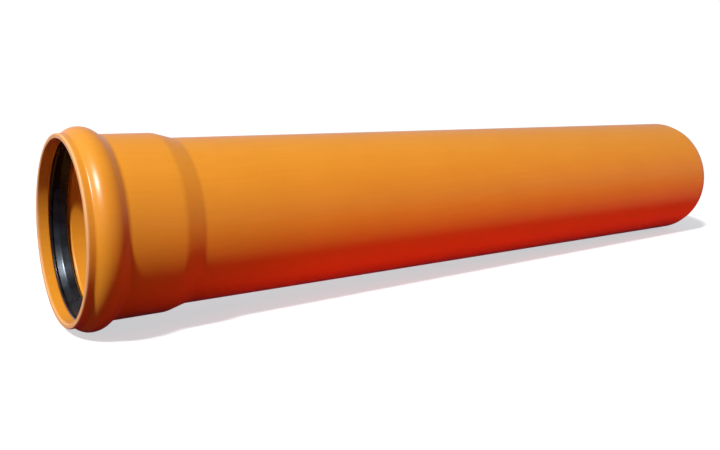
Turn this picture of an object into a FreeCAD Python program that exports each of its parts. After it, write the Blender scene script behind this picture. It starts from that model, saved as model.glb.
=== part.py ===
import FreeCAD, Part
import math
import os
import Sketcher

# Plastic sewer pipe, 200 mm outside diameter, 1 m effective length, with a
# formed socket at one end and a chamfered spigot at the other.
#
# It is two pieces: the pipe, which is one extrusion whose end is reheated and
# formed over a mandrel into the socket, and the black rubber lip seal that
# sits in the groove inside the socket's bead.
#
# Row frame, millimetres: the pipe lies on a level floor with its mouth
# towards -X, its spigot towards +X and +Z up.  The bead is wider than the
# barrel, so the pipe rests on the bead and on the spigot's lower edge and its
# axis falls gently towards the spigot.  The origin is on the floor, under the
# middle of the bounding box.
#
# Each profile is drawn along the sketch's X axis, which is the pipe's own
# axis: s is the distance from the mouth's plane, r is the distance from the
# axis.

doc = FreeCAD.newDocument("sewer_pipe")

# ---------------------------------------------------------------- dimensions
DIMS = [
    # barrel and spigot
    ("barrel_od", 200.0, "outside diameter of the barrel"),
    ("wall", 5.9, "wall thickness"),
    ("overall_len", 1120.0, "mouth to spigot end"),
    ("chamfer_len", 9.0, "length of the spigot's outside chamfer"),
    ("chamfer_deg", 15.0, "angle of the spigot's chamfer to the axis"),
    # socket
    ("socket_id", 201.2, "bore of the socket that takes the next spigot"),
    ("lip_id", 205.4, "bore of the lip in front of the seal"),
    ("socket_end", 107.5, "where the socket starts to narrow, outside"),
    ("barrel_start", 131.5, "where the narrowing meets the barrel, outside"),
    ("narrow_shift", 2.2, "inside corners of the narrowing lie further in"),
    # bead, outside
    ("bead_od", 231.4, "largest diameter, over the bead"),
    ("bead_start", 8.8, "bead's foot at the lip"),
    ("crest_start", 17.0, "bead's crest, mouth side"),
    ("crest_end", 31.0, "bead's crest, barrel side"),
    ("bead_end", 44.5, "bead's foot at the socket"),
    # groove, inside
    ("groove_start", 13.5, "groove's edge at the lip"),
    ("floor_start", 19.5, "groove's floor, mouth side"),
    ("floor_end", 28.5, "groove's floor, barrel side"),
    ("groove_end", 39.0, "groove's edge at the socket"),
    # radii
    ("foot_r", 4.0, "outside radius at the bead's foot at the lip"),
    ("foot_back_r", 9.0, "outside radius at the bead's foot at the socket"),
    ("crest_r", 18.0, "outside radius of the bead's crest, mouth side"),
    ("crest_back_r", 22.0, "outside radius of the bead's crest, barrel side"),
    ("neck_r", 2.2, "radius of the groove's edges"),
    ("floor_r", 2.5, "radius at the groove's floor"),
    ("shoulder_r", 28.0, "outside radius where the socket narrows"),
    ("root_r", 18.0, "outside radius where the narrowing meets the barrel"),
    ("inner_shoulder_r", 22.0, "inside radius where the socket narrows"),
    ("inner_root_r", 24.0, "inside radius at the barrel's bore"),
    ("rim_outer_r", 1.8, "radius of the mouth's outer edge"),
    ("rim_inner_r", 1.2, "radius of the mouth's inner edge"),
    # seal
    ("seal_gap", 0.15, "play between the seal and its groove"),
    ("seal_front", 13.6, "seal's front face at the lip"),
    ("seal_lip_r", 100.75, "radius of the seal's lip pressed back by a spigot"),
    ("seal_nose_r", 101.9, "radius of the seal's front bead"),
    ("seal_back", 36.0, "seal's back end"),
]

sheet = doc.addObject("Spreadsheet::Sheet", "Params")
for row, (alias, value, words) in enumerate(DIMS, start=1):
    sheet.set("A%d" % row, words)
    sheet.set("B%d" % row, repr(value))
    sheet.setAlias("B%d" % row, alias)
doc.recompute()


def cell(alias):
    return float(sheet.get(alias))


# ---------------------------------------------------------------- small tools
def plane_of(body, role):
    for feature in body.Origin.OriginFeatures:
        if feature.Role == role:
            return feature
    raise RuntimeError("no origin plane " + role)


def outline(body, name, corners):
    """A closed outline in the body's XY plane.  corners is a list of
    (tag, s expression, r expression, s start value, r start value)."""
    sketch = body.newObject("Sketcher::SketchObject", name)
    sketch.AttachmentSupport = [(plane_of(body, "XY_Plane"), "")]
    sketch.MapMode = "FlatFace"
    points = [FreeCAD.Vector(c[3], c[4], 0) for c in corners]
    n = len(points)
    for i in range(n):
        sketch.addGeometry(Part.LineSegment(points[i], points[(i + 1) % n]), False)
    for i in range(n):
        sketch.addConstraint(
            Sketcher.Constraint("Coincident", i, 2, (i + 1) % n, 1))
    for i, (tag, s_expr, r_expr, s0, r0) in enumerate(corners):
        if s_expr == "0":
            sketch.addConstraint(Sketcher.Constraint("PointOnObject", i, 1, -2))
        else:
            k = sketch.addConstraint(
                Sketcher.Constraint("DistanceX", -1, 1, i, 1, s0))
            sketch.renameConstraint(k, "s_" + tag)
            sketch.setExpression("Constraints.s_" + tag, s_expr)
        k = sketch.addConstraint(Sketcher.Constraint("DistanceY", -1, 1, i, 1, r0))
        sketch.renameConstraint(k, "r_" + tag)
        sketch.setExpression("Constraints.r_" + tag, r_expr)
    doc.recompute()
    return sketch


def turned(body, sketch, name):
    revolution = body.newObject("PartDesign::Revolution", name)
    revolution.Profile = sketch
    revolution.ReferenceAxis = (sketch, ["H_Axis"])
    revolution.Angle = 360.0
    revolution.Reversed = False
    doc.recompute()
    body.Tip = revolution
    return revolution


def ring_edges(shape, s, r):
    """Names of the circular edges at station s with radius r."""
    found = []
    for i, edge in enumerate(shape.Edges, start=1):
        curve = edge.Curve
        if (isinstance(curve, Part.Circle) and abs(curve.Center.x - s) < 1e-4
                and abs(curve.Radius - r) < 1e-4):
            found.append("Edge%d" % i)
    return found


def rounded(body, base, name, corners, alias):
    """Rounds the ring edges at the given (s, r) corners to the radius alias."""
    names = []
    for s, r in corners:
        hit = ring_edges(base.Shape, s, r)
        if not hit:
            raise RuntimeError("%s: no edge at s=%.3f r=%.3f" % (name, s, r))
        names += hit
    fillet = body.newObject("PartDesign::Fillet", name)
    fillet.Base = (base, names)
    fillet.Radius = cell(alias)
    fillet.setExpression("Radius", "Params." + alias)
    doc.recompute()
    body.Tip = fillet
    return fillet


# ---------------------------------------------------------------- the pipe
P = {alias: value for alias, value, _ in DIMS}
R_BARREL = P["barrel_od"] / 2
R_BORE = R_BARREL - P["wall"]
R_SOCKET_IN = P["socket_id"] / 2
R_SOCKET = R_SOCKET_IN + P["wall"]
R_LIP_IN = P["lip_id"] / 2
R_LIP = R_LIP_IN + P["wall"]
R_CREST = P["bead_od"] / 2
R_FLOOR = R_CREST - P["wall"]
DROP = P["chamfer_len"] * math.tan(math.radians(P["chamfer_deg"]))

r_barrel = "Params.barrel_od / 2"
r_bore = "Params.barrel_od / 2 - Params.wall"
r_socket = "Params.socket_id / 2 + Params.wall"
r_socket_in = "Params.socket_id / 2"
r_lip = "Params.lip_id / 2 + Params.wall"
r_lip_in = "Params.lip_id / 2"
r_crest = "Params.bead_od / 2"
r_floor = "Params.bead_od / 2 - Params.wall"

pipe = doc.addObject("PartDesign::Body", "Pipe")
pipe.Label = "pipe"
pipe_outline = outline(pipe, "PipeOutline", [
    # outside, mouth to spigot
    ("rim_out", "0", r_lip, 0.0, R_LIP),
    ("foot_lip", "Params.bead_start", r_lip, P["bead_start"], R_LIP),
    ("crest_a", "Params.crest_start", r_crest, P["crest_start"], R_CREST),
    ("crest_b", "Params.crest_end", r_crest, P["crest_end"], R_CREST),
    ("foot_socket", "Params.bead_end", r_socket, P["bead_end"], R_SOCKET),
    ("shoulder", "Params.socket_end", r_socket, P["socket_end"], R_SOCKET),
    ("root", "Params.barrel_start", r_barrel, P["barrel_start"], R_BARREL),
    ("chamfer_top", "Params.overall_len - Params.chamfer_len", r_barrel,
     P["overall_len"] - P["chamfer_len"], R_BARREL),
    ("chamfer_tip", "Params.overall_len",
     r_barrel + " - Params.chamfer_len * tan(Params.chamfer_deg * 1 deg)",
     P["overall_len"], R_BARREL - DROP),
    # inside, spigot to mouth
    ("bore_end", "Params.overall_len", r_bore, P["overall_len"], R_BORE),
    ("bore_start", "Params.barrel_start + Params.narrow_shift", r_bore,
     P["barrel_start"] + P["narrow_shift"], R_BORE),
    ("seat", "Params.socket_end + Params.narrow_shift", r_socket_in,
     P["socket_end"] + P["narrow_shift"], R_SOCKET_IN),
    ("groove_b", "Params.groove_end", r_socket_in, P["groove_end"], R_SOCKET_IN),
    ("floor_b", "Params.floor_end", r_floor, P["floor_end"], R_FLOOR),
    ("floor_a", "Params.floor_start", r_floor, P["floor_start"], R_FLOOR),
    ("groove_a", "Params.groove_start", r_lip_in, P["groove_start"], R_LIP_IN),
    ("rim_in", "0", r_lip_in, 0.0, R_LIP_IN),
])
wall = turned(pipe, pipe_outline, "PipeWall")
wall = rounded(pipe, wall, "BeadFoot", [(P["bead_start"], R_LIP)], "foot_r")
wall = rounded(pipe, wall, "BeadFootBack", [(P["bead_end"], R_SOCKET)], "foot_back_r")
wall = rounded(pipe, wall, "BeadCrest", [(P["crest_start"], R_CREST)], "crest_r")
wall = rounded(pipe, wall, "BeadCrestBack", [(P["crest_end"], R_CREST)], "crest_back_r")
wall = rounded(pipe, wall, "Shoulder", [(P["socket_end"], R_SOCKET)], "shoulder_r")
wall = rounded(pipe, wall, "Root", [(P["barrel_start"], R_BARREL)], "root_r")
wall = rounded(pipe, wall, "InnerShoulder",
               [(P["socket_end"] + P["narrow_shift"], R_SOCKET_IN)], "inner_shoulder_r")
wall = rounded(pipe, wall, "InnerRoot",
               [(P["barrel_start"] + P["narrow_shift"], R_BORE)], "inner_root_r")
wall = rounded(pipe, wall, "GrooveEdges",
               [(P["groove_start"], R_LIP_IN), (P["groove_end"], R_SOCKET_IN)], "neck_r")
wall = rounded(pipe, wall, "GrooveFloor",
               [(P["floor_start"], R_FLOOR), (P["floor_end"], R_FLOOR)], "floor_r")
wall = rounded(pipe, wall, "RimOuter", [(0.0, R_LIP)], "rim_outer_r")
wall = rounded(pipe, wall, "RimInner", [(0.0, R_LIP_IN)], "rim_inner_r")

# ---------------------------------------------------------------- the seal
# A lip seal: its back and feet fill the groove, a small bead closes the gap
# at the lip, and a broad lip leans inwards and back.  The lip is drawn as it
# lies against a spigot.
seal = doc.addObject("PartDesign::Body", "Seal")
seal.Label = "seal_ring"
GAP = P["seal_gap"]
seal_outline = outline(seal, "SealOutline", [
    ("back_a", "Params.floor_start + 2.6", r_floor + " - Params.seal_gap",
     P["floor_start"] + 2.6, R_FLOOR - GAP),
    ("back_b", "Params.floor_end - 2.6", r_floor + " - Params.seal_gap",
     P["floor_end"] - 2.6, R_FLOOR - GAP),
    ("heel_b", "Params.seal_back - 1.2", "Params.seal_lip_r + 2.4",
     P["seal_back"] - 1.2, P["seal_lip_r"] + 2.4),
    ("lip_b", "Params.seal_back - 1.8", "Params.seal_lip_r",
     P["seal_back"] - 1.8, P["seal_lip_r"]),
    ("lip_a", "Params.seal_front + 8.0", "Params.seal_lip_r",
     P["seal_front"] + 8.0, P["seal_lip_r"]),
    ("valley", "Params.seal_front + 4.2", "Params.seal_nose_r + 0.9",
     P["seal_front"] + 4.2, P["seal_nose_r"] + 0.9),
    ("nose_b", "Params.seal_front + 3.2", "Params.seal_nose_r",
     P["seal_front"] + 3.2, P["seal_nose_r"]),
    ("nose_a", "Params.seal_front + 0.9", "Params.seal_nose_r",
     P["seal_front"] + 0.9, P["seal_nose_r"]),
    ("heel_a", "Params.seal_front + 3.4", "Params.seal_nose_r + 4.0",
     P["seal_front"] + 3.4, P["seal_nose_r"] + 4.0),
])
ring = turned(seal, seal_outline, "SealRing")

# ---------------------------------------------------------------- resting pose
# The axis falls from the bead to the spigot's lower edge.  The bead touches
# the floor where the flat of its crest runs into the arc of its back.
fall = math.atan((R_CREST - R_SOCKET) / (P["bead_end"] - P["crest_end"]))
touch = P["crest_end"] - P["crest_back_r"] * math.tan(fall / 2)
slope = math.asin((R_CREST - R_BARREL)
                  / (P["overall_len"] - P["chamfer_len"] - touch))
turn = FreeCAD.Rotation(FreeCAD.Vector(0, 1, 0), math.degrees(slope))
posed = pipe.Shape.copy()
posed.Placement = FreeCAD.Placement(FreeCAD.Vector(0, 0, 0), turn).multiply(posed.Placement)
box = posed.optimalBoundingBox(True, False)
move = FreeCAD.Vector(-(box.XMin + box.XMax) / 2, -(box.YMin + box.YMax) / 2, -box.ZMin)
for body in (pipe, seal):
    body.Placement = FreeCAD.Placement(move, turn)
doc.recompute()

# ---------------------------------------------------------------- checks
for thing in doc.Objects:
    bad = [word for word in thing.State if word in ("Invalid", "Error")]
    if bad:
        raise RuntimeError("%s is %s" % (thing.Name, bad))

os.makedirs("parts", exist_ok=True)
for body in (pipe, seal):
    shape = body.Shape
    if shape.isNull() or not shape.isValid() or len(shape.Solids) != 1:
        raise RuntimeError("%s has a bad shape" % body.Label)
    shape.exportStep("parts/%s.step" % body.Label)
    b = shape.optimalBoundingBox(True, False)
    print("%-10s volume %.1f mm3  box %.2f %.2f %.2f .. %.2f %.2f %.2f" % (
        body.Label, shape.Volume, b.XMin, b.YMin, b.ZMin, b.XMax, b.YMax, b.ZMax))
print("slope %.6f deg, mouth centre at (%.4f, %.4f, %.4f)" % (
    math.degrees(slope), move.x, move.y, move.z))
common = pipe.Shape.common(seal.Shape)
print("overlap of the two pieces: %.4f mm3" % common.Volume)
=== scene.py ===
import math

import bpy
from mathutils import Matrix, Vector


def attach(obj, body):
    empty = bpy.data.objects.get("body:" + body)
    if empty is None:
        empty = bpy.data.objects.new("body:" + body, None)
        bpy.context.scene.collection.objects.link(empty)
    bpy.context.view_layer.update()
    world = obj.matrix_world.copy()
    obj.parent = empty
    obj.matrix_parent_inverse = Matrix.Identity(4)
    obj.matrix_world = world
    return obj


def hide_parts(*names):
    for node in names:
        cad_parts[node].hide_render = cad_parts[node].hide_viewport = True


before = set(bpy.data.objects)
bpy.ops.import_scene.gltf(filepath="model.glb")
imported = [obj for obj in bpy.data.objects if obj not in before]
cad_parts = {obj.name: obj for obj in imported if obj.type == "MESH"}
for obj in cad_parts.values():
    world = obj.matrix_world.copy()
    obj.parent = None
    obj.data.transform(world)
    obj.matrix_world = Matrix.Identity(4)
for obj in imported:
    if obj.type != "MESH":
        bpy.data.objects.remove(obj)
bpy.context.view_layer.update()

# ------------------------------------------------------------------ the pipe's own axes
# Everything is in the row frame, in metres. s runs along the pipe from the
# mouth's plane to the spigot, r is the distance from its axis.
SLOPE = math.radians(0.827741)
MOUTH = Vector((-0.5598749, 0.0, 0.1160401))
ALONG = Vector((math.cos(SLOPE), 0.0, -math.sin(SLOPE)))
ACROSS = Vector((0.0, 1.0, 0.0))
UPWARD = Vector((math.sin(SLOPE), 0.0, math.cos(SLOPE)))


def place(s, r, t):
    """A point at station s and radius r (mm), t turned from the top."""
    return MOUTH + ALONG * (s / 1000.0) + (UPWARD * math.cos(t) + ACROSS * math.sin(t)) * (r / 1000.0)


# ------------------------------------------------------------------ profiles
def rounded_outline(corners, step=6.0, arc_step=math.radians(7)):
    """corners: (s, r, radius) around a closed outline. Returns points and unit
    normals (to the left of the way round), with every corner an arc."""
    n = len(corners)
    pts, nrm = [], []
    tangents = []
    for i in range(n):
        p0 = Vector(corners[i - 1][:2])
        p1 = Vector(corners[i][:2])
        p2 = Vector(corners[(i + 1) % n][:2])
        rad = corners[i][2]
        a = (p0 - p1).normalized()
        b = (p2 - p1).normalized()
        ang = math.acos(max(-1.0, min(1.0, a.dot(b))))
        cut = rad / math.tan(ang / 2)
        tangents.append((p1 + a * cut, p1 + b * cut, p1, a, b, ang, rad))
    for i in range(n):
        t0, t1, p1, a, b, ang, rad = tangents[i]
        centre = p1 + (a + b).normalized() * (rad / math.sin(ang / 2))
        turn = (-a).x * b.y - (-a).y * b.x
        sweep = math.pi - ang
        steps = max(2, int(math.ceil(sweep / arc_step)))
        v0 = t0 - centre
        sign = 1.0 if turn > 0 else -1.0
        for k in range(steps + 1):
            w = sign * sweep * k / steps
            c, q = math.cos(w), math.sin(w)
            d = Vector((v0.x * c - v0.y * q, v0.x * q + v0.y * c))
            pts.append(centre + d)
            nrm.append(d.normalized() * (-sign))
        nt0 = tangents[(i + 1) % n][0]
        run = nt0 - t1
        length = run.length
        m = int(length // step)
        if m >= 1:
            d = run.normalized()
            side = Vector((-d.y, d.x))
            for k in range(1, m + 1):
                pts.append(t1 + run * (k / (m + 1)))
                nrm.append(side)
    return pts, nrm


def lathe(name, corners, segments, step=6.0, arc_step=math.radians(7)):
    pts, nrm = rounded_outline(corners, step, arc_step)
    verts, faces, normals = [], [], []
    n = len(pts)
    for j in range(segments):
        t = 2 * math.pi * j / segments
        radial = UPWARD * math.cos(t) + ACROSS * math.sin(t)
        for p, m in zip(pts, nrm):
            verts.append(place(p.x, p.y, t))
            normals.append(ALONG * m.x + radial * m.y)
    for j in range(segments):
        k = (j + 1) % segments
        for i in range(n):
            h = (i + 1) % n
            faces.append((j * n + i, j * n + h, k * n + h, k * n + i))
    mesh = bpy.data.meshes.new(name)
    mesh.from_pydata([tuple(v) for v in verts], [], faces)
    mesh.update()
    probe = mesh.polygons[0]
    flip = probe.normal.dot(normals[faces[0][0]]) < 0
    if flip:
        mesh.flip_normals()
    uv = mesh.uv_layers.new(name="UVMap")
    for poly in mesh.polygons:
        for li in poly.loop_indices:
            vi = mesh.loops[li].vertex_index
            j, i = divmod(vi, n)
            u = j / segments
            if poly.index // n == segments - 1 and j == 0:
                u = 1.0
            uv.data[li].uv = (u, pts[i].x / 1200.0)
    mesh.shade_smooth()
    mesh.normals_split_custom_set_from_vertices([tuple(v) for v in normals])
    obj = bpy.data.objects.new(name, mesh)
    bpy.context.scene.collection.objects.link(obj)
    return obj


# Outside from mouth to spigot, then inside back to the mouth.
CHAMFER = 9.0 * math.tan(math.radians(15))
PIPE = [
    (0.0, 108.6, 1.8),
    (8.8, 108.6, 4.0),
    (17.0, 115.7, 18.0),
    (31.0, 115.7, 22.0),
    (44.5, 106.5, 9.0),
    (107.5, 106.5, 28.0),
    (131.5, 100.0, 18.0),
    (1111.0, 100.0, 1.2),
    (1120.0, 100.0 - CHAMFER, 0.5),
    (1120.0, 94.1, 0.4),
    (133.7, 94.1, 24.0),
    (109.7, 100.6, 22.0),
    (39.0, 100.6, 2.2),
    (28.5, 109.8, 2.5),
    (19.5, 109.8, 2.5),
    (13.5, 102.7, 2.2),
    (0.0, 102.7, 1.2),
]
# The seal, relaxed: a small bead at the front, a valley, and a broad lip that
# leans in and back, away from the wall.
SEAL = [
    (22.1, 109.65, 0.8),
    (25.9, 109.65, 0.8),
    (35.4, 103.4, 0.8),
    (34.6, 99.2, 0.6),
    (32.8, 96.8, 1.0),
    (24.0, 99.2, 8.0),
    (19.8, 101.8, 0.8),
    (17.9, 103.0, 0.5),
    (16.9, 101.4, 0.6),
    (13.9, 101.7, 0.8),
    (16.8, 105.6, 0.6),
]


# ------------------------------------------------------------------ materials
class Nodes:
    def __init__(self, mat):
        mat.use_nodes = True
        self.tree = mat.node_tree
        self.tree.nodes.clear()

    def add(self, kind, **values):
        node = self.tree.nodes.new(kind)
        for key, value in values.items():
            setattr(node, key, value)
        return node

    def link(self, a, b):
        self.tree.links.new(a, b)

    def noise(self, vector, scale, detail=2.0, rough=0.5, distortion=0.0):
        n = self.add("ShaderNodeTexNoise")
        n.inputs["Scale"].default_value = scale
        n.inputs["Detail"].default_value = detail
        n.inputs["Roughness"].default_value = rough
        n.inputs["Distortion"].default_value = distortion
        self.link(vector, n.inputs["Vector"])
        return n.outputs["Fac"]

    def mapping(self, vector, scale, rotation=(0, 0, 0)):
        n = self.add("ShaderNodeMapping")
        n.inputs["Scale"].default_value = scale
        n.inputs["Rotation"].default_value = rotation
        self.link(vector, n.inputs["Vector"])
        return n.outputs["Vector"]

    def ramp(self, fac, stops):
        n = self.add("ShaderNodeValToRGB")
        el = n.color_ramp.elements
        while len(el) < len(stops):
            el.new(0.5)
        for e, (p, c) in zip(el, stops):
            e.position = p
            e.color = c if isinstance(c, tuple) else (c, c, c, 1)
        self.link(fac, n.inputs["Fac"])
        return n.outputs["Color"]

    def span(self, fac, lo, hi, a=0.0, b=1.0):
        n = self.add("ShaderNodeMapRange")
        n.inputs["From Min"].default_value = a
        n.inputs["From Max"].default_value = b
        n.inputs["To Min"].default_value = lo
        n.inputs["To Max"].default_value = hi
        self.link(fac, n.inputs["Value"])
        return n.outputs["Result"]

    def mix(self, fac, a, b, mode="MIX"):
        n = self.add("ShaderNodeMix", data_type="RGBA", blend_type=mode)
        if isinstance(fac, float):
            n.inputs[0].default_value = fac
        else:
            self.link(fac, n.inputs[0])
        for sock, value in ((n.inputs[6], a), (n.inputs[7], b)):
            if isinstance(value, tuple):
                sock.default_value = value
            else:
                self.link(value, sock)
        return n.outputs[2]

    def math(self, op, a, b):
        n = self.add("ShaderNodeMath", operation=op)
        for sock, value in ((n.inputs[0], a), (n.inputs[1], b)):
            if isinstance(value, float):
                sock.default_value = value
            else:
                self.link(value, sock)
        return n.outputs[0]

    def bump(self, height, strength, distance, normal=None):
        n = self.add("ShaderNodeBump")
        n.inputs["Strength"].default_value = strength
        n.inputs["Distance"].default_value = distance
        self.link(height, n.inputs["Height"])
        if normal is not None:
            self.link(normal, n.inputs["Normal"])
        return n.outputs["Normal"]


def pvc_material():
    mat = bpy.data.materials.new("pvc_orange_brown")
    g = Nodes(mat)
    out = g.add("ShaderNodeOutputMaterial")
    b = g.add("ShaderNodeBsdfPrincipled")
    g.link(b.outputs[0], out.inputs[0])
    pos = g.add("ShaderNodeTexCoord").outputs["Object"]
    along = g.mapping(pos, (1.0, 26.0, 26.0), (0.0, -SLOPE, 0.0))
    lines = g.noise(along, 14.0, 3.0, 0.6)          # drawn-out extrusion lines
    broad = g.noise(pos, 4.0, 2.0, 0.5)             # slow unevenness of the wall
    grain = g.noise(pos, 900.0, 2.0, 0.55)          # fine grain of the skin
    mottle = g.noise(pos, 16.0, 3.0, 0.5)
    scuff_field = g.mapping(pos, (6.0, 30.0, 30.0), (0.0, 0.35, 0.2))
    scuffs = g.noise(scuff_field, 9.0, 6.0, 0.62, 0.4)
    scuff = g.span(scuffs, 0.0, 1.0, 0.66, 0.76)
    specks = g.span(g.noise(pos, 420.0, 1.0, 0.4), 0.0, 1.0, 0.77, 0.80)

    # distance along the pipe, for the paler, matt edges at both ends: wear on the cut faces, and on the mouth's rim
    # also a painted highlight
    dot = g.add("ShaderNodeVectorMath", operation="DOT_PRODUCT")
    g.link(pos, dot.inputs[0])
    dot.inputs[1].default_value = tuple(ALONG)
    station = g.math("SUBTRACT", dot.outputs["Value"], float(MOUTH.dot(ALONG)))
    at_mouth = g.span(station, 1.0, 0.0, 0.0018, 0.0032)
    at_spigot = g.span(station, 0.0, 1.0, 1.1160, 1.1190)
    ends = g.math("MAXIMUM", at_mouth, at_spigot)   # cut faces: paler and matt; partly wear, partly a painted highlight on the mouth's rim
    wear_and_rim_highlight = g.math("MULTIPLY", ends, g.span(g.noise(pos, 90.0, 3.0, 0.5), 0.75, 1.0, 0.3, 0.7))

    base = g.mix(g.span(mottle, 0.0, 1.0, 0.35, 0.65), (0.705, 0.272, 0.018, 1), (0.725, 0.283, 0.020, 1))
    base = g.mix(g.span(lines, 0.0, 0.25, 0.4, 0.62), base, (0.66, 0.23, 0.009, 1))
    base = g.mix(g.math("MULTIPLY", scuff, 0.08), base, (0.80, 0.40, 0.14, 1))
    # pale cream at both ends: wear on the cut faces, and on the mouth's rim a painted highlight
    base = g.mix(g.math("MULTIPLY", wear_and_rim_highlight, 0.45), base, (0.88, 0.56, 0.30, 1))
    base = g.mix(g.math("MULTIPLY", specks, 0.30), base, (0.30, 0.06, 0.012, 1))
    g.link(base, b.inputs["Base Color"])

    rough = g.span(broad, 0.32, 0.37)
    rough = g.math("ADD", rough, g.span(lines, -0.02, 0.03))
    rough = g.math("ADD", rough, g.math("MULTIPLY", scuff, 0.14))
    rough = g.math("ADD", rough, g.math("MULTIPLY", wear_and_rim_highlight, 0.22))
    g.link(rough, b.inputs["Roughness"])
    b.inputs["IOR"].default_value = 1.50
    # The lavender sheen tint paints a sky-coloured reflection along the grazing edges.
    b.inputs["Sheen Weight"].default_value = 0.22
    b.inputs["Sheen Roughness"].default_value = 0.32
    b.inputs["Sheen Tint"].default_value = (0.76, 0.64, 1.0, 1)
    b.inputs["Subsurface Weight"].default_value = 0.05
    b.inputs["Subsurface Radius"].default_value = (0.004, 0.0015, 0.0006)
    b.inputs["Subsurface Scale"].default_value = 0.6
    n = g.bump(broad, 0.22, 0.0008)
    n = g.bump(lines, 0.20, 0.00011, n)
    n = g.bump(grain, 0.10, 0.00003, n)
    n = g.bump(scuffs, 0.05, 0.0001, n)
    g.link(n, b.inputs["Normal"])
    return mat


def rubber_material():
    mat = bpy.data.materials.new("rubber_black")
    g = Nodes(mat)
    out = g.add("ShaderNodeOutputMaterial")
    b = g.add("ShaderNodeBsdfPrincipled")
    g.link(b.outputs[0], out.inputs[0])
    pos = g.add("ShaderNodeTexCoord").outputs["Object"]
    fine = g.noise(pos, 700.0, 3.0, 0.6)
    film = g.noise(pos, 60.0, 3.0, 0.55)            # uneven film of lubricant
    base = g.mix(g.span(film, 0.0, 1.0, 0.4, 0.62), (0.004, 0.004, 0.005, 1), (0.009, 0.009, 0.011, 1))
    g.link(base, b.inputs["Base Color"])
    rough = g.math("ADD", g.span(film, 0.25, 0.33, 0.35, 0.65), g.span(fine, -0.03, 0.04))
    g.link(rough, b.inputs["Roughness"])
    b.inputs["IOR"].default_value = 1.50
    # The blue specular tint paints a cold blue-white cast into the seal's highlights.
    b.inputs["Specular Tint"].default_value = (0.74, 0.86, 1.0, 1)
    n = g.bump(fine, 0.20, 0.00004)
    n = g.bump(film, 0.15, 0.0003, n)
    g.link(n, b.inputs["Normal"])
    return mat


# ------------------------------------------------------------------ pieces
pipe = lathe("pipe_skin", PIPE, 224, step=9.0)
pipe.data.materials.append(pvc_material())
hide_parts("pipe")
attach(pipe, "root")

seal = lathe("seal_skin", SEAL, 224, step=1.2, arc_step=math.radians(14))
seal.data.materials.append(rubber_material())
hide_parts("seal_ring")
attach(seal, "root")


# ------------------------------------------------------------------ floor and sweep
def sweep():
    """A round pale floor whose rim curves up into a wall on every side."""
    line = [(0.01, 0.0), (1.5, 0.0), (4.0, 0.0), (8.0, 0.0)]
    rad = 3.0
    for k in range(1, 17):
        a = math.pi / 2 * k / 16
        line.append((8.0 + rad * math.sin(a), rad - rad * math.cos(a)))
    line.append((11.0, 12.0))
    turns = 96
    verts, faces = [], []
    for j in range(turns):
        a = 2 * math.pi * j / turns
        for d, z in line:
            verts.append((d * math.cos(a), d * math.sin(a), z))
    n = len(line)
    for j in range(turns):
        k = (j + 1) % turns
        for i in range(n - 1):
            faces.append((j * n + i, k * n + i, k * n + i + 1, j * n + i + 1))
    faces.append(tuple(j * n for j in range(turns)))
    mesh = bpy.data.meshes.new("floor")
    mesh.from_pydata(verts, [], faces)
    mesh.update()
    mesh.shade_smooth()
    obj = bpy.data.objects.new("floor", mesh)
    bpy.context.scene.collection.objects.link(obj)
    mat = bpy.data.materials.new("floor_pale")
    g = Nodes(mat)
    out = g.add("ShaderNodeOutputMaterial")
    b = g.add("ShaderNodeBsdfPrincipled")
    g.link(b.outputs[0], out.inputs[0])
    b.inputs["Base Color"].default_value = (0.50, 0.505, 0.51, 1)
    b.inputs["Emission Color"].default_value = (0.97, 0.98, 1.0, 1)
    away = g.add("ShaderNodeVectorMath", operation="LENGTH")
    g.link(g.add("ShaderNodeTexCoord").outputs["Object"], away.inputs[0])
    g.link(g.span(away.outputs["Value"], 0.58, 0.80, 1.0, 7.0), b.inputs["Emission Strength"])
    b.inputs["Roughness"].default_value = 0.9
    b.inputs["Specular IOR Level"].default_value = 0.1
    mesh.materials.append(mat)
    return obj


floor = sweep()


# ------------------------------------------------------------------ light
def area(name, location, target, size, size_y, watts, colour=(1, 1, 1)):
    data = bpy.data.lights.new(name, "AREA")
    data.shape = "RECTANGLE"
    data.size = size
    data.size_y = size_y
    data.energy = watts
    data.color = colour
    obj = bpy.data.objects.new(name, data)
    bpy.context.scene.collection.objects.link(obj)
    obj.location = location
    obj.rotation_euler = (Vector(target) - Vector(location)).to_track_quat("-Z", "Y").to_euler()
    return obj


world = bpy.data.worlds.new("studio")
bpy.context.scene.world = world
world.use_nodes = True
# A bright pale dome above the horizon and a dark, warm surround below it. The
# pale floor is left out of the pipe's own reflections and bounce light, so
# that the pipe's lower half falls off to dark red as it does over dark ground.
tree = world.node_tree
bg = tree.nodes["Background"]
bg.inputs[1].default_value = 1.15
direction = tree.nodes.new("ShaderNodeTexCoord")
parts = tree.nodes.new("ShaderNodeSeparateXYZ")
tree.links.new(direction.outputs["Generated"], parts.inputs[0])
height = tree.nodes.new("ShaderNodeMapRange")
height.inputs["From Min"].default_value = -1.0
height.inputs["From Max"].default_value = 1.0
tree.links.new(parts.outputs["Z"], height.inputs["Value"])
dome = tree.nodes.new("ShaderNodeValToRGB")
stops = [
    (0.00, (0.50, 0.018, 0.012, 1)),
    (0.44, (0.30, 0.014, 0.010, 1)),
    (0.494, (0.05, 0.010, 0.008, 1)),
    (0.508, (0.50, 0.46, 0.62, 1)),
    (0.60, (0.44, 0.41, 0.52, 1)),
    (0.70, (0.24, 0.23, 0.25, 1)),
    (1.00, (0.15, 0.145, 0.145, 1)),
]
el = dome.color_ramp.elements
while len(el) < len(stops):
    el.new(0.5)
for e, (p, c) in zip(el, stops):
    e.position = p
    e.color = c
tree.links.new(height.outputs["Result"], dome.inputs["Fac"])
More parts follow.
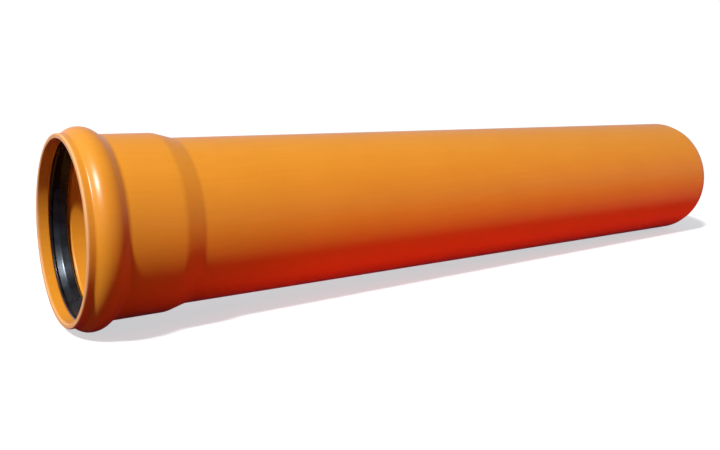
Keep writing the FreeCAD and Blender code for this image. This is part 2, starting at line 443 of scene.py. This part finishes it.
# dimmer beyond the spigot, brighter behind the pipe
far_side = tree.nodes.new("ShaderNodeMapRange")
far_side.inputs["From Min"].default_value = -0.2
far_side.inputs["From Max"].default_value = 0.9
far_side.inputs["To Min"].default_value = 1.0
far_side.inputs["To Max"].default_value = 0.55
tree.links.new(parts.outputs["X"], far_side.inputs["Value"])
behind = tree.nodes.new("ShaderNodeMapRange")
behind.inputs["From Min"].default_value = -1.0
behind.inputs["From Max"].default_value = 1.0
behind.inputs["To Min"].default_value = 0.40
behind.inputs["To Max"].default_value = 1.7
tree.links.new(parts.outputs["Y"], behind.inputs["Value"])
level = tree.nodes.new("ShaderNodeMath")
level.operation = "MULTIPLY"
tree.links.new(far_side.outputs["Result"], level.inputs[0])
tree.links.new(behind.outputs["Result"], level.inputs[1])
shade = tree.nodes.new("ShaderNodeVectorMath")
shade.operation = "SCALE"
tree.links.new(dome.outputs["Color"], shade.inputs[0])
tree.links.new(level.outputs[0], shade.inputs["Scale"])
tree.links.new(shade.outputs["Vector"], bg.inputs[0])
floor.visible_diffuse = False
floor.visible_glossy = False
floor.visible_shadow = False

# The warm ground that the pipe itself sees, unseen by the camera.
ground_mesh = bpy.data.meshes.new("ground")
ground_mesh.from_pydata([(-7, -7, -0.0005), (7, -7, -0.0005), (7, 7, -0.0005), (-7, 7, -0.0005)], [], [(0, 1, 2, 3)])
ground_mesh.update()
ground = bpy.data.objects.new("ground", ground_mesh)
bpy.context.scene.collection.objects.link(ground)
ground_mat = bpy.data.materials.new("ground_warm")
gg = Nodes(ground_mat)
g_out = gg.add("ShaderNodeOutputMaterial")
g_diff = gg.add("ShaderNodeBsdfDiffuse")
g_place = gg.add("ShaderNodeSeparateXYZ")
gg.link(gg.add("ShaderNodeTexCoord").outputs["Object"], g_place.inputs[0])
gg.link(gg.mix(gg.span(g_place.outputs["X"], 0.0, 1.0, -0.62, -0.26), (0.05, 0.004, 0.006, 1), (0.68, 0.026, 0.018, 1)),
        g_diff.inputs["Color"])
gg.link(g_diff.outputs[0], g_out.inputs[0])
ground_mesh.materials.append(ground_mat)
ground.visible_camera = False
ground.visible_shadow = False

area("key", (-6.85, -3.76, 8.78), (-0.45, 0.0, 0.10), 1.05, 1.05, 1760.0)

# ------------------------------------------------------------------ camera
FOCAL_PX = 767.857
camera_data = bpy.data.cameras.new("camera")
camera_data.sensor_fit = "HORIZONTAL"
camera_data.sensor_width = 36.0
camera_data.lens = FOCAL_PX / 720.0 * 36.0
camera_data.shift_x = 0.0
camera_data.shift_y = -55.0 / 720.0
camera_data.clip_start = 0.01
camera_data.clip_end = 100.0
camera = bpy.data.objects.new("camera", camera_data)
bpy.context.scene.collection.objects.link(camera)
right = Vector((0.815324, -0.579004, 0.0)).normalized()
up = Vector((0.065872, 0.092758, 0.993507)).normalized()
back = right.cross(up).normalized()
up = back.cross(right).normalized()
spot = Vector((-0.773096, -0.876777, 0.280187))
camera.matrix_world = Matrix((
    (right.x, up.x, back.x, spot.x),
    (right.y, up.y, back.y, spot.y),
    (right.z, up.z, back.z, spot.z),
    (0.0, 0.0, 0.0, 1.0),
))
bpy.context.scene.camera = camera

bpy.context.scene.view_settings.view_transform = "Standard"

bpy.context.view_layer.update()
